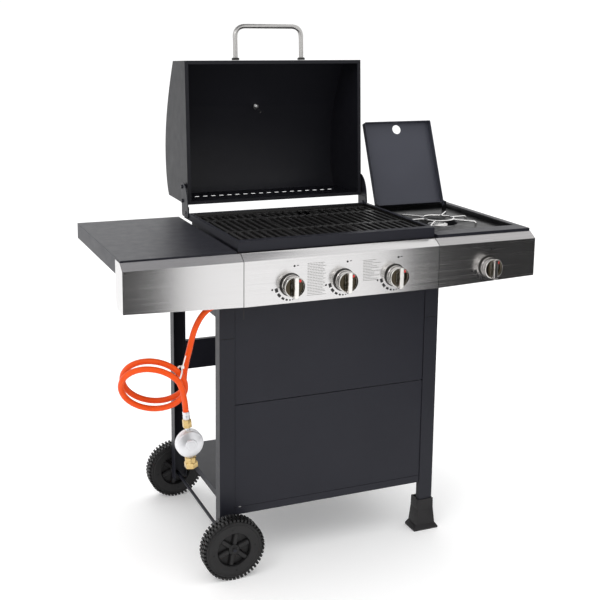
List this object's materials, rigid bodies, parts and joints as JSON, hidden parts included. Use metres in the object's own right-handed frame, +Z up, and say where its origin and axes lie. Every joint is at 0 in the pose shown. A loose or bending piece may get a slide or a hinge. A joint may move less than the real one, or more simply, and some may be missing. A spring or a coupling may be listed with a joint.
{
  "type": "gas barbecue grill",
  "caption": "Gas barbecue grill on a two-wheeled steel cart, lid swung open, with a side burner, a side shelf and a coiled gas hose with its regulator.",
  "frame": {"origin": "on the floor, at the middle of the whole grill's width and depth with its lids open, the hose left out", "axes": "+Z up, -Y towards the cook at the control panel, +X towards the side burner"},
  "size_m": [1.0102, 0.6483, 1.2289],
  "materials": {
    "frame_paint": "anthracite powder coat, fine satin texture",
    "fascia_steel": "stainless, brushed lengthwise",
    "tray_steel": "plain rolled stainless sheet",
    "zinc_steel": "zinc plated",
    "black_plastic": "moulded, lightly textured",
    "grate_iron": "matt black enamel on a cast skin",
    "burner_iron": "machined casting",
    "pan_enamel": "glossy black enamel",
    "wire_chrome": "bright plated wire",
    "handle_chrome": "satin chrome tube",
    "knob_chrome": "satin chrome on plastic",
    "dial_steel": "brushed bezel with a glass face",
    "hose_rubber": "smooth orange gas hose",
    "fitting_brass": "machined brass",
    "regulator_alloy": "die-cast, bright, faintly grainy"
  },
  "bodies": {
    "cart": {"leg_front_left": "frame_paint", "leg_back_left": "frame_paint", "leg_front_right": "frame_paint", "leg_back_right": "frame_paint", "foot_front_right": "black_plastic", "foot_back_right": "black_plastic", "front_panel_lower": "frame_paint", "front_panel_upper": "frame_paint", "back_rail": "frame_paint", "bottom_shelf": "frame_paint", "side_rail_left": "frame_paint", "side_rail_right": "frame_paint", "axle_rod": "frame_paint", "firebox": "frame_paint", "flame_tamer_left": "tray_steel", "flame_tamer_middle": "tray_steel", "flame_tamer_right": "tray_steel", "burner_tube_left": "tray_steel", "burner_tube_middle": "tray_steel", "burner_tube_right": "tray_steel", "gas_manifold": "zinc_steel", "control_panel": "fascia_steel", "left_fascia": "fascia_steel", "right_fascia": "fascia_steel", "left_shelf": "frame_paint", "side_burner_frame": "frame_paint", "side_burner_pan": "pan_enamel", "side_burner_head": "burner_iron", "hose_tube_upper": "hose_rubber", "hose_coil": "hose_rubber", "hose_tube_lower": "hose_rubber", "hose_nut": "fitting_brass", "regulator": "regulator_alloy", "regulator_nut": "fitting_brass", "valve_left": "fitting_brass", "valve_middle": "fitting_brass", "valve_right": "fitting_brass", "valve_side": "fitting_brass"},
    "lid": {"lid_shell": "frame_paint", "lid_handle": "handle_chrome", "thermometer": "dial_steel", "hinge_arm_left": "frame_paint", "hinge_arm_right": "frame_paint"},
    "side_cover": {"side_lid": "frame_paint"},
    "wheel_front": {"wheel_front": "black_plastic"},
    "wheel_rear": {"wheel_rear": "black_plastic"},
    "grease_tray": {"grease_tray": "tray_steel"},
    "trivet": {"side_trivet": "wire_chrome"},
    "grate_left": {"grate_left": "grate_iron"},
    "grate_middle": {"grate_middle": "grate_iron"},
    "grate_right": {"grate_right": "grate_iron"},
    "stem_left": {"stem_left": "zinc_steel"},
    "knob_left": {"knob_left": "knob_chrome"},
    "stem_middle": {"stem_middle": "zinc_steel"},
    "knob_middle": {"knob_middle": "knob_chrome"},
    "stem_right": {"stem_right": "zinc_steel"},
    "knob_right": {"knob_right": "knob_chrome"},
    "stem_side": {"stem_side": "zinc_steel"},
    "knob_side": {"knob_side": "knob_chrome"}
  },
  "joints": [
    {"name": "lid_hinge", "type": "hinge", "parent": "cart", "child": "lid", "pos_m": [0, 0.1208, 0.768], "axis": [1, 0, 0], "range_deg": [0, 93.3]},
    {"name": "side_cover_hinge", "type": "hinge", "parent": "cart", "child": "side_cover", "pos_m": [0.361, 0.0728, 0.7585], "axis": [1, 0, 0], "range_deg": [0, 112.4]},
    {"name": "wheel_front_spin", "type": "hinge", "parent": "cart", "child": "wheel_front", "pos_m": [-0.262, -0.2732, 0.072], "axis": [0, 1, 0], "continuous": true},
    {"name": "wheel_rear_spin", "type": "hinge", "parent": "cart", "child": "wheel_rear", "pos_m": [-0.262, 0.1898, 0.072], "axis": [0, 1, 0], "continuous": true},
    {"name": "grease_tray_slide", "type": "slide", "parent": "cart", "child": "grease_tray", "axis": [0, 1, 0], "range_m": [0, 0.25]},
    {"name": "trivet_lift", "type": "slide", "parent": "cart", "child": "trivet", "axis": [0, 0, 1], "range_m": [0, 0.08]},
    {"name": "grate_left_lift", "type": "slide", "parent": "cart", "child": "grate_left", "axis": [0, 0, 1], "range_m": [0, 0.08]},
    {"name": "grate_middle_lift", "type": "slide", "parent": "cart", "child": "grate_middle", "axis": [0, 0, 1], "range_m": [0, 0.08]},
    {"name": "grate_right_lift", "type": "slide", "parent": "cart", "child": "grate_right", "axis": [0, 0, 1], "range_m": [0, 0.08]},
    {"name": "knob_left_push", "type": "slide", "parent": "cart", "child": "stem_left", "axis": [0, 1, 0], "range_m": [0, 0.003], "stiffness_N_per_m": 600, "springref_m": -0.004},
    {"name": "knob_left_turn", "type": "hinge", "parent": "stem_left", "child": "knob_left", "pos_m": [-0.132, -0.3072, 0.672], "axis": [0, -1, 0], "range_deg": [0, 225]},
    {"name": "knob_middle_push", "type": "slide", "parent": "cart", "child": "stem_middle", "axis": [0, 1, 0], "range_m": [0, 0.003], "stiffness_N_per_m": 600, "springref_m": -0.004},
    {"name": "knob_middle_turn", "type": "hinge", "parent": "stem_middle", "child": "knob_middle", "pos_m": [-0.004, -0.3072, 0.672], "axis": [0, -1, 0], "range_deg": [0, 225]},
    {"name": "knob_right_push", "type": "slide", "parent": "cart", "child": "stem_right", "axis": [0, 1, 0], "range_m": [0, 0.003], "stiffness_N_per_m": 600, "springref_m": -0.004},
    {"name": "knob_right_turn", "type": "hinge", "parent": "stem_right", "child": "knob_right", "pos_m": [0.124, -0.3072, 0.672], "axis": [0, -1, 0], "range_deg": [0, 225]},
    {"name": "knob_side_push", "type": "slide", "parent": "cart", "child": "stem_side", "axis": [0, 1, 0], "range_m": [0, 0.003], "stiffness_N_per_m": 600, "springref_m": -0.004},
    {"name": "knob_side_turn", "type": "hinge", "parent": "stem_side", "child": "knob_side", "pos_m": [0.373, -0.3072, 0.672], "axis": [0, -1, 0], "range_deg": [0, 225]}
  ]
}
